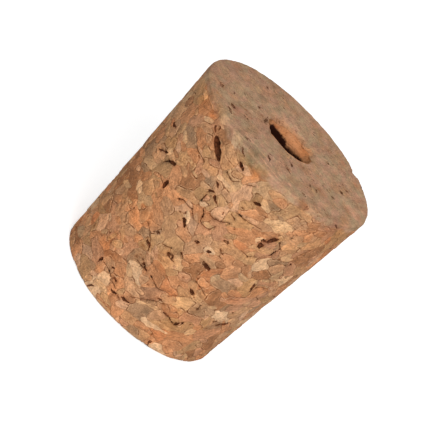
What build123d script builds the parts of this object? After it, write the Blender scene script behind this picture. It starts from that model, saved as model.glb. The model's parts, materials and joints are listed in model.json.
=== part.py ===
from build123d import *
import os
from math import atan2, cos, degrees, radians, sin, tan

# Tapered stopper of pressed cork granules, with a hole drilled through for a tube.
# The narrow end stands on the ground plane, +Z runs up the axis and -Y is the front.

# Driving dimensions, in millimetres and degrees.
wide_diameter = 36.0
narrow_diameter = 31.3
height = 37.7
bore_diameter = 9.0
wide_face_slant = 1.5
wide_rim_round = 0.6
wide_rim_ease = 0.06
narrow_rim_round = 0.3

# The drill tore granules out of the lip of the hole. The reach of the tear past
# the hole is given every 30 degrees, starting at the front.
mouth_tear_depth = 1.2
mouth_tear_reach = [0.6, 0.4, 0.1, 0.3, 0.6, 0.9, 1.0, 0.9, 0.5, 0.3, 0.2, 0.9]
mouth_tear_overlap = 0.3

# A chip is missing from the far edge of the wide face. Its outline is in shares of
# its length along the rim and of its depth towards the axis.
chip_bearing = 138.0
chip_length = 2.0
chip_height = 1.5
chip_depth = 0.8
chip_outline = [(-0.55, -1.0), (-0.35, 0.8), (-0.15, 1.0), (0.45, 0.2), (1.0, -1.0)]

# Voids between granules are pockets with a pointed outline, narrower at the bottom.
pocket_bottom_share = 0.55
pocket_stand_off = 0.4
pocket_outline = [(-0.5, 0.0), (-0.2, 0.45), (0.25, 0.5), (0.5, 0.1), (0.15, -0.45), (-0.3, -0.4)]

# Voids in the tapered side as the front shows them. Bearing is measured from the
# front, drop is the share of the height below the wide face, and lean is the angle
# of the long way of the void from straight up.
# name, bearing, drop, length, width, depth, lean
side_voids = [
    ("long slot", -24, 0.10, 3.8, 1.2, 2.2, -59),
    ("slit over the long slot", -33, 0.06, 1.1, 0.4, 0.8, -60),
    ("short slot", -8, 0.07, 1.4, 0.7, 1.4, -70),
    ("boot", -32, 0.40, 1.6, 0.8, 1.0, 5),
    ("tall slit", -9, 0.43, 1.6, 0.5, 1.0, -41),
    ("left crevice", -50, 0.34, 3.0, 0.4, 0.7, 62),
    ("end of the left crevice", -38, 0.32, 1.7, 0.5, 0.7, 75),
    ("arch top", -10, 0.25, 0.9, 0.5, 0.9, 47),
    ("arch side", -7, 0.27, 1.2, 0.5, 0.8, -61),
    ("leaning slit", -10, 0.21, 0.9, 0.4, 0.8, -74),
    ("right pit", 11, 0.14, 1.1, 0.8, 0.9, 64),
    ("dark patch, low end", 28, 0.28, 1.3, 0.9, 1.0, 45),
    ("dark patch, high end", 32, 0.23, 1.9, 0.7, 0.9, 33),
    ("round pit", 4, 0.46, 0.9, 0.7, 0.8, 67),
    ("double pit", 17, 0.51, 1.4, 0.7, 0.7, -78),
    ("slit under the lens", 48, 0.48, 2.0, 0.5, 0.7, -21),
    ("slit near the foot", -2, 0.89, 1.5, 0.5, 0.7, 83),
    ("notch in the outline", -23, 0.97, 1.1, 0.5, 0.8, 31),
    ("left pit", -30, 0.86, 1.6, 0.5, 0.8, 17),
    ("left cluster", -10, 0.91, 1.3, 0.6, 0.7, -90),
    ("low crack", 31, 0.82, 1.7, 0.4, 0.6, 45),
    ("low notch", 22, 0.81, 1.3, 0.5, 0.6, -70),
    ("middle slit", -15, 0.63, 1.3, 0.5, 0.7, -73),
    ("pair of pits", -1, 0.59, 1.5, 0.7, 0.6, -81),
    ("tooth", 23, 0.65, 1.1, 0.6, 0.7, -59),
    ("slit by the pale granule", -8, 0.71, 1.7, 0.4, 0.6, -59),
    ("slit at the near rim", 31, 0.03, 1.4, 0.4, 0.7, 14),
    ("pit at the right rim", 55, 0.04, 1.6, 0.5, 0.7, -62),
]

# The back of the side isn't seen, and has voids of the same kinds in a spiral.
back_void_count = 24
back_bearing_start = 78.0
back_bearing_span = 198.0
back_drop_range = (0.08, 0.92)
golden_share = 0.618
back_void_kinds = [(1.5, 0.6, 0.9), (2.6, 0.8, 1.3), (1.1, 0.7, 0.8), (1.9, 0.4, 0.7), (1.3, 0.9, 1.0)]
back_lean_step = 53.0

# Voids in the sanded wide face: name, x, y, length, width, depth, turn from +X.
face_voids = [
    ("slit by the near rim", -0.5, -12.9, 1.4, 0.5, 0.5, -52),
    ("slit in front of the hole", 2.7, -7.6, 1.3, 0.6, 0.6, -57),
    ("second slit", 2.9, -10.2, 1.8, 0.4, 0.5, -42),
    ("left dot", -5.0, -14.3, 0.8, 0.5, 0.5, -53),
    ("right dot", -4.3, -11.4, 0.7, 0.6, 0.5, -32),
    ("upper slit", -10.4, -8.9, 1.2, 0.8, 0.4, -13),
    ("far dot", 11.7, 0.8, 1.0, 0.8, 0.4, -32),
]

# Voids in the narrow face, which the stopper stands on, as shares of its radius.
foot_voids = [
    ("slot", 0.62, 40, 2.2, 0.7, 1.0, 20),
    ("pit", 0.70, 155, 1.4, 0.8, 0.8, -35),
    ("slit", 0.55, 250, 1.8, 0.5, 0.8, 70),
    ("small pit", 0.78, 320, 1.1, 0.7, 0.7, 5),
]

# Values worked out from the dimensions above.
wide_radius = wide_diameter / 2
narrow_radius = narrow_diameter / 2
bore_radius = bore_diameter / 2
taper = (wide_radius - narrow_radius) / height
taper_angle = degrees(atan2(wide_radius - narrow_radius, height))
slant_rise = wide_radius * tan(radians(wide_face_slant))
standing = (Align.CENTER, Align.CENTER, Align.MIN)
hanging = (Align.CENTER, Align.CENTER, Align.MAX)


def radius_at(z):
    """Radius of the tapered side at a height above the narrow face."""
    return narrow_radius + taper * z


def wide_face_plane():
    """Plane of the wide face, which rises a little towards -X."""
    slant = radians(wide_face_slant)
    return Plane(origin=(0, 0, height), x_dir=(cos(slant), 0, -sin(slant)), z_dir=(sin(slant), 0, cos(slant)))


def side_plane(bearing, drop, lean):
    """Plane that touches the side at a void, with X along the void and Z outwards."""
    turn = radians(bearing)
    tip = radians(taper_angle)
    z = height * (1 - drop)
    outward = Vector(sin(turn) * cos(tip), -cos(turn) * cos(tip), -sin(tip))
    upward = Vector(sin(turn) * sin(tip), -cos(turn) * sin(tip), cos(tip))
    along = Vector(cos(turn), sin(turn), 0)
    long_way = upward * cos(radians(lean)) + along * sin(radians(lean))
    origin = (radius_at(z) * sin(turn), -radius_at(z) * cos(turn), z)
    return Plane(origin=origin, x_dir=long_way, z_dir=outward)


def pocket(length, width, depth):
    """Cutter for one void: a pointed outline above the surface, shrinking to its bottom."""
    top = [(x * length, y * width) for x, y in pocket_outline]
    bottom = [(x * pocket_bottom_share, y * pocket_bottom_share) for x, y in top]
    upper = Plane.XY.offset(pocket_stand_off) * make_face(Polyline(*top, close=True))
    lower = Plane.XY.offset(-depth) * make_face(Polyline(*bottom, close=True))
    return loft([upper, lower], ruled=True)


def blank():
    """The plain tapered body, with its narrow rim rounded and faced off at its slant."""
    top = height + 2 * slant_rise + wide_rim_round
    profile = Polyline((0, 0), (narrow_radius, 0), (radius_at(top), top), (0, top), close=True)
    body = revolve(Plane.XZ * make_face(profile), Axis.Z)
    rims = body.edges().filter_by(GeomType.CIRCLE).sort_by(Axis.Z)
    body = fillet(rims[0], narrow_rim_round)
    return split(body, bisect_by=wide_face_plane(), keep=Keep.BOTTOM)


def rim_sanding():
    """What sanding took off the wide rim: a ring with a round inside, square to the wide face."""
    drum = Cylinder(wide_radius + wide_rim_ease, 2 * wide_rim_round, align=hanging)
    drum = fillet(drum.edges().filter_by(GeomType.CIRCLE).sort_by(Axis.Z)[-1], wide_rim_round)
    ring = Cylinder(wide_radius + slant_rise, 2 * wide_rim_round) - drum
    return wide_face_plane() * ring


def bore():
    """The drilled hole, through both faces."""
    drill = Cylinder(bore_radius, height + 3 * slant_rise, align=standing)
    return Pos(0, 0, -slant_rise) * drill


def mouth_tear():
    """The ragged lip of the hole: wide and uneven at the face, back to the hole below."""
    step = 360 / len(mouth_tear_reach)
    grow = 1 + slant_rise / mouth_tear_depth
    inner = bore_radius - mouth_tear_overlap
    upper_points = []
    lower_points = []
    for index, reach in enumerate(mouth_tear_reach):
        turn = radians(index * step)
        outer = bore_radius + reach * grow
        upper_points.append((outer * sin(turn), -outer * cos(turn)))
        lower_points.append((inner * sin(turn), -inner * cos(turn)))
    upper = Plane.XY.offset(height + slant_rise) * make_face(Polyline(*upper_points, close=True))
    lower = Plane.XY.offset(height - mouth_tear_depth) * make_face(Polyline(*lower_points, close=True))
    return loft([upper, lower], ruled=True)


def rim_chip():
    """The bite out of the far edge of the wide face."""
    turn = radians(chip_bearing)
    rim_point = (wide_radius * sin(turn), -wide_radius * cos(turn), height)
    place = Plane(origin=rim_point, x_dir=(cos(turn), sin(turn), 0), z_dir=(0, 0, 1))
    corners = [(x * chip_length, y * chip_depth) for x, y in chip_outline]
    bite = make_face(Polyline(*corners, close=True))
    return place * extrude(Plane.XY.offset(-chip_height) * bite, chip_height + 2 * slant_rise)


def back_voids():
    """Voids for the unseen back, spread in even steps of height and a golden turn."""
    low, high = back_drop_range
    voids = []
    for index in range(back_void_count):
        share = (index + 0.5) / back_void_count
        drop = low + (high - low) * share
        bearing = back_bearing_start + back_bearing_span * ((index * golden_share) % 1)
        length, width, depth = back_void_kinds[index % len(back_void_kinds)]
        lean = (index * back_lean_step) % 180 - 90
        voids.append((f"back void {index + 1}", bearing, drop, length, width, depth, lean))
    return voids


def void_cutters():
    """Every void, each placed on the surface that it opens from."""
    cutters = []
    for name, bearing, drop, length, width, depth, lean in side_voids + back_voids():
        cutters.append(side_plane(bearing, drop, lean) * pocket(length, width, depth))
    for name, x, y, length, width, depth, turn in face_voids:
        spot = wide_face_plane() * Pos(x, y, 0) * Rot(0, 0, turn)
        cutters.append(spot * pocket(length, width, depth))
    for name, share, bearing, length, width, depth, turn in foot_voids:
        reach = share * narrow_radius
        spot = Pos(reach * sin(radians(bearing)), -reach * cos(radians(bearing)), 0) * Rot(180, 0, turn)
        cutters.append(spot * pocket(length, width, depth))
    return cutters


def cork_stopper():
    """The whole stopper as one solid."""
    body = blank() - rim_sanding() - bore() - mouth_tear() - rim_chip()
    for cutter in void_cutters():
        body -= cutter
    return body


os.makedirs("parts", exist_ok=True)
stopper = cork_stopper()
stopper.label = "cork_stopper"
export_step(stopper, "parts/cork_stopper.step")
print("volume", round(stopper.volume), "mm3, faces", len(stopper.faces()))
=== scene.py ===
# %% [markdown]
# # A bored stopper of pressed cork
#
# This lesson dresses one piece: a tapered stopper pressed from cork granules, with
# a hole drilled through it for a tube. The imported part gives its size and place.
# Everything that the eye takes for "cork" is made here: the chips of bark, the dark
# seams and voids between them, the torn lip of the hole and the sanded wide end.

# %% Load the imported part
import json
import math

import bpy
import numpy as np
from mathutils import Matrix, Vector
from mathutils.kdtree import KDTree


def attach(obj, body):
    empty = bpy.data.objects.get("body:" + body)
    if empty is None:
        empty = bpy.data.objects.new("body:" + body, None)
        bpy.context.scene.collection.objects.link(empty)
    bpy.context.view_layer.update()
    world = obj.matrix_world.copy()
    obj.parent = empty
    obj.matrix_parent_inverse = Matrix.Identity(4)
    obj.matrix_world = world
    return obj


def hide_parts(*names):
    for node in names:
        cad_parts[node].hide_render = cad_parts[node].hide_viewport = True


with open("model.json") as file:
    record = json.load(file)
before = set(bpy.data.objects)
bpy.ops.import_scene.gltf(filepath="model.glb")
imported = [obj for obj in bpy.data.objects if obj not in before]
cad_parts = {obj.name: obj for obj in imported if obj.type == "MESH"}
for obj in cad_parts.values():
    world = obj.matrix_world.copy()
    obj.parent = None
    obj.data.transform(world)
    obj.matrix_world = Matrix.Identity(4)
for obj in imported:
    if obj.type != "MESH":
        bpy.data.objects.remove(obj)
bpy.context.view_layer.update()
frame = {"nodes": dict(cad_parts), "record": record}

MM = 0.001
NODE = "cork_stopper"

# %% [markdown]
# ## The sizes come from the part
#
# The stopper is a cone with a sloping top. Two points on its side fix the taper, one
# plane fixes the wide face, and the record states the hole. Measuring them here
# keeps this script true to the part when a size changes. All sculpting below works
# in millimetres, because chips of cork are easier to think of that way.

# %% Measure the cone, the wide face and the hole
WIDE_FACE_SLANT = math.radians(1.5)
BAND = 5.0

corners = np.array([v.co for v in frame["nodes"][NODE].data.vertices]) / MM
corner_radius = np.hypot(corners[:, 0], corners[:, 1])


def widest(low, high):
    """Height and radius of the widest point between two heights."""
    band = np.flatnonzero((corners[:, 2] >= low) & (corners[:, 2] <= high))
    best = band[np.argmax(corner_radius[band])]
    return corners[best, 2], corner_radius[best]


HEIGHT = float((corners[:, 2] + math.tan(WIDE_FACE_SLANT) * corners[:, 0]).max())
low_z, low_r = widest(0.0, BAND)
high_z, high_r = widest(HEIGHT - 2 * BAND, HEIGHT - BAND)
TAPER = (high_r - low_r) / (high_z - low_z)
NARROW_R = low_r - TAPER * low_z
WIDE_R = NARROW_R + TAPER * HEIGHT
bore_mount = next(m for m in frame["record"]["mounts"] if m["name"] == "tube_bore")
BORE_R = bore_mount["dims"]["r_mm"]
print(f"height {HEIGHT:.2f}, narrow radius {NARROW_R:.2f}, wide radius {WIDE_R:.2f}, hole {BORE_R}")


def radius_at(z):
    """Radius of the plain cone at a height, in millimetres."""
    return NARROW_R + TAPER * z


def face_height(x):
    """Height of the sloping wide face above a place on the X axis."""
    return HEIGHT - math.tan(WIDE_FACE_SLANT) * x


# %% [markdown]
# ## The camera comes first
#
# The picture looks down on the stopper and is turned about the line of sight, so
# the stopper leans across it. A long lens stands about a third of a metre away.
# With the camera in place, a spot seen in the picture can be traced back along its
# ray to the spot on the real surface, which is how the chips below are laid out.

# %% Place the camera
IMAGE = 447
VIEW_ELEVATION = math.radians(21.718)
VIEW_ROLL = math.radians(45.610)
VIEW_FROM = np.array([1.859, -322.761, 147.791])
FOCAL_PIXELS = 2104.8
SENSOR = 36.0

view_back = np.array([0.0, -math.cos(VIEW_ELEVATION), math.sin(VIEW_ELEVATION)])
level_right = np.array([1.0, 0.0, 0.0])
level_up = np.cross(view_back, level_right)
view_right = math.cos(VIEW_ROLL) * level_right + math.sin(VIEW_ROLL) * level_up
view_up = np.cross(view_back, view_right)

camera_data = bpy.data.cameras.new("camera")
camera_data.sensor_width = SENSOR
camera_data.lens = SENSOR * FOCAL_PIXELS / IMAGE
camera_data.clip_start = 0.01
camera_data.clip_end = 20.0
camera = bpy.data.objects.new("camera", camera_data)
bpy.context.collection.objects.link(camera)
turn = Matrix(np.column_stack([view_right, view_up, view_back]).tolist()).to_4x4()
camera.matrix_world = Matrix.Translation(Vector(VIEW_FROM * MM)) @ turn
bpy.context.scene.camera = camera


def seen_at(point):
    """Where in the picture a point of the part shows, in pixels from the top left."""
    away = np.asarray(point, float) - VIEW_FROM
    scale = FOCAL_PIXELS / -(away @ view_back)
    return IMAGE / 2 + scale * (away @ view_right), IMAGE / 2 - scale * (away @ view_up)


def sight(px, py):
    """Unit direction of the ray through a pixel."""
    ray = (px - IMAGE / 2) * view_right + (IMAGE / 2 - py) * view_up - FOCAL_PIXELS * view_back
    return ray / np.linalg.norm(ray)


def on_side(px, py):
    """Point of the tapered side behind a pixel; a ray that misses takes its nearest pass."""
    d = sight(px, py)
    o = VIEW_FROM
    a = d[0] ** 2 + d[1] ** 2 - (TAPER * d[2]) ** 2
    b = o[0] * d[0] + o[1] * d[1] - TAPER * d[2] * radius_at(o[2])
    c = o[0] ** 2 + o[1] ** 2 - radius_at(o[2]) ** 2
    return o + d * (-b - math.sqrt(max(b * b - a * c, 0.0))) / a


def on_face(px, py):
    """Point of the wide face behind a pixel."""
    d = sight(px, py)
    lean = np.array([math.tan(WIDE_FACE_SLANT), 0.0, 1.0])
    return VIEW_FROM + d * (HEIGHT - lean @ VIEW_FROM) / (lean @ d)


def in_hole(px, py):
    """Point of the hole's far wall behind a pixel."""
    d = sight(px, py)
    o = VIEW_FROM
    a = d[0] ** 2 + d[1] ** 2
    b = o[0] * d[0] + o[1] * d[1]
    c = o[0] ** 2 + o[1] ** 2 - BORE_R ** 2
    return o + d * (-b + math.sqrt(max(b * b - a * c, 0.0))) / a


print("near rim shows at", [round(v, 1) for v in seen_at((0, -WIDE_R, HEIGHT))])

# %% [markdown]
# ## The blank
#
# A stopper is turned from a pressed block, so its blank is a section spun about the
# axis. A plane is set upright as half of the section, and its face is taken out,
# which leaves the foot, the side, the wide face and the wall of the hole as a ring of
# four edges. Cut into short lengths and spun, it gives a closed skin. The cuts are
# fine on the side and the wide face, because the chips of cork are carved into the
# vertices there, and coarser under the foot and in the hole.

# %% Set up the section
AROUND = 380
SECTION = [
    # radius and height of a corner, and the spacing of the cuts up to the next one
    (BORE_R, 0.0, 0.80),
    (NARROW_R, 0.0, 0.29),
    (WIDE_R, HEIGHT, 0.29),
    (BORE_R, HEIGHT, 0.60),
]

bpy.ops.mesh.primitive_plane_add(size=1.0, location=(0, 0, 0))
cork = bpy.context.object
cork.name = "cork"
for corner, (stop_r, stop_z, spacing) in zip((0, 1, 3, 2), SECTION):
    cork.data.vertices[corner].co = (stop_r * MM, 0.0, stop_z * MM)
bpy.context.tool_settings.mesh_select_mode = (False, True, False)
bpy.ops.object.mode_set(mode="EDIT")
bpy.ops.mesh.select_all(action="SELECT")
bpy.ops.mesh.delete(type="ONLY_FACE")
bpy.ops.mesh.select_all(action="DESELECT")
bpy.ops.object.mode_set(mode="OBJECT")

# %% Cut its four edges into short lengths
for number, (start_r, start_z, spacing) in enumerate(SECTION):
    end_r, end_z, _ = SECTION[(number + 1) % len(SECTION)]
    middle = Vector(((start_r + end_r) / 2 * MM, 0.0, (start_z + end_z) / 2 * MM))
    half_run = math.dist((start_r, start_z), (end_r, end_z)) / 2
    for edge in cork.data.edges:
        a, b = (cork.data.vertices[v].co for v in edge.vertices)
        edge.select = ((a + b) / 2 - middle).length < MM * 0.01
    bpy.ops.object.mode_set(mode="EDIT")
    bpy.ops.mesh.subdivide(number_cuts=1)
    bpy.ops.mesh.subdivide(number_cuts=round(half_run / spacing) - 1)
    bpy.ops.mesh.select_all(action="DESELECT")
    bpy.ops.object.mode_set(mode="OBJECT")
print("section:", len(cork.data.edges), "edges")

# %% Spin it into a skin
bpy.ops.object.mode_set(mode="EDIT")
bpy.ops.mesh.select_all(action="SELECT")
bpy.ops.mesh.spin(steps=AROUND, angle=2 * math.pi, center=(0, 0, 0), axis=(0, 0, 1))
bpy.ops.mesh.select_all(action="SELECT")
bpy.ops.mesh.remove_doubles(threshold=0.001 * MM)
bpy.ops.mesh.normals_make_consistent(inside=False)
bpy.ops.object.mode_set(mode="OBJECT")
print("blank:", len(cork.data.vertices), "vertices,", len(cork.data.polygons), "faces")

# %% [markdown]
# ## Steady noise
#
# Cork is uneven everywhere, but the script has to give the same stopper each time.
# So the unevenness comes from lattice noise: every whole-number cell of space has
# one steady number, and the noise blends smoothly from cell to cell. Bending the
# places that are looked up by a little noise gives every chip its ragged outline.

# %% Lattice noise
def cell_number(cells, seed):
    """One steady number from 0 to 1 for each whole-number cell."""
    whole = cells.astype(np.int64)
    n = whole[..., 0] * 374761393 + whole[..., 1] * 668265263 + whole[..., 2] * 1440662683
    n = (n + seed * 1274126177) & 0xFFFFFFFF
    n = ((n ^ (n >> 13)) * 1274126177) & 0xFFFFFFFF
    return ((n ^ (n >> 16)) & 0xFFFF) / 65535


def lumps(points, size, seed):
    """Smooth noise from -1 to 1 with lumps of about one size."""
    scaled = points / size
    base = np.floor(scaled)
    part = scaled - base
    part = part * part * (3 - 2 * part)
    total = np.zeros(len(points))
    for step in np.ndindex(2, 2, 2):
        step = np.array(step)
        share = np.where(step == 1, part, 1 - part).prod(axis=1)
        total += share * cell_number(base + step, seed)
    return 2 * total - 1


def bent(points):
    """Places moved a little by noise, coarse and fine, so that outlines turn ragged."""
    moved = points.copy()
    for axis in range(3):
        moved[:, axis] += 0.26 * lumps(points, 1.7, 11 + axis) + 0.12 * lumps(points, 0.55, 21 + axis)
    return moved


# %% [markdown]
# ## Reading the mesh as arrays
#
# The chips are worked out for all vertices at once, so the blank is read into arrays
# in millimetres. Each vertex keeps its outward direction, because every hollow is cut
# straight inwards and nothing may stand proud of the ground surface.

# %% Read the blank, round its rims and slope its wide face
WIDE_ROUND = 0.6
NARROW_ROUND = 0.3
SLOPE_REACH = 9.0
HOLE_EASE = 1.6

mesh = cork.data
place = np.zeros(len(mesh.vertices) * 3)
mesh.vertices.foreach_get("co", place)
place = place.reshape(-1, 3) / MM
quads = np.array([p.vertices[:] for p in mesh.polygons])
pairs = np.array([e.vertices[:] for e in mesh.edges])


def gather_at_mouth(points):
    """Draw the rings in the hole together towards its mouth, where they show."""
    wall = np.hypot(points[:, 0], points[:, 1]) < BORE_R + 0.01
    share = 1 - points[wall, 2] / HEIGHT
    points[wall, 2] = HEIGHT * (1 - share ** HOLE_EASE)


def round_rims(points):
    """Ease both outer rims by a quarter round."""
    radius = np.hypot(points[:, 0], points[:, 1])
    z = points[:, 2].copy()
    for rim_z, inward, ease in ((HEIGHT, -1.0, WIDE_ROUND), (0.0, 1.0, NARROW_ROUND)):
        down = (z - rim_z) * inward
        back = radius_at(rim_z) - radius
        on_wall = (down > 1e-6) & (down < ease) & (back < ease)
        on_flat = (down <= 1e-6) & (down > -1e-6) & (back < ease)
        angle = np.zeros(len(points))
        angle[on_wall] = math.pi / 4 * (1 - down[on_wall] / ease)
        angle[on_flat] = math.pi / 4 * (1 + back[on_flat] / ease)
        both = on_wall | on_flat
        points[both, 2] = rim_z + inward * ease * (1 - np.sin(angle[both]))
        new_r = radius_at(points[both, 2]) - ease * (1 - np.cos(angle[both]))
        points[both, :2] *= (new_r / radius[both])[:, None]


def slope_top(points):
    """Tip the wide end to its slope and keep the side on the cone."""
    share = np.clip((points[:, 2] - (HEIGHT - SLOPE_REACH)) / SLOPE_REACH, 0, 1)
    share = share * share * (3 - 2 * share)
    rise = -math.tan(WIDE_FACE_SLANT) * points[:, 0] * share
    radius = np.hypot(points[:, 0], points[:, 1])
    outer = radius > radius_at(points[:, 2]) - WIDE_ROUND
    points[outer, :2] *= ((radius + TAPER * rise) / radius)[outer, None]
    points[:, 2] += rise


gather_at_mouth(place)
round_rims(place)
slope_top(place)
mesh.vertices.foreach_set("co", (place * MM).ravel())
mesh.update()
outward = np.zeros(len(mesh.vertices) * 3, np.float32)
mesh.vertex_normals.foreach_get("vector", outward)
outward = outward.reshape(-1, 3).astype(float)
radius = np.hypot(place[:, 0], place[:, 1])
bearing = np.degrees(np.arctan2(place[:, 0], -place[:, 1]))
below_face = face_height(place[:, 0]) - place[:, 2]
in_bore = radius < BORE_R + 0.01
on_top = (below_face < 0.3) & ~in_bore
on_foot = (place[:, 2] < 0.01) & ~in_bore
print("vertices:", len(place), "in the hole:", int(in_bore.sum()), "on the wide face:", int(on_top.sum()))

# %% [markdown]
# ## The chips that can be told apart
#
# Pressed cork is a mosaic of bark chips, each with its own tone, long way and size.
# The chips below are the ones that stand out in the picture, read off from it. Each
# row names a chip, the two ends of its long way as pixels of the 447 by 447 picture,
# its width in pixels and its tone. Tracing the ends back to the side gives the chip
# its real place, so the mosaic stays put from every angle.

# %% Tones of cork, as plain names for sRGB colours
TONES = {
    "honey": (184, 135, 94),
    "orange": (188, 131, 90),
    "rust": (176, 121, 82),
    "deep orange": (182, 119, 78),
    "tan": (182, 134, 96),
    "straw": (195, 150, 108),
    "cream": (206, 163, 123),
    "pink": (195, 146, 109),
    "rose": (178, 127, 92),
    "khaki": (177, 132, 91),
    "olive": (171, 127, 86),
    "grey tan": (160, 121, 88),
    "grey green": (180, 140, 102),
    "brown": (158, 108, 72),
    "dark brown": (130, 83, 52),
}

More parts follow.
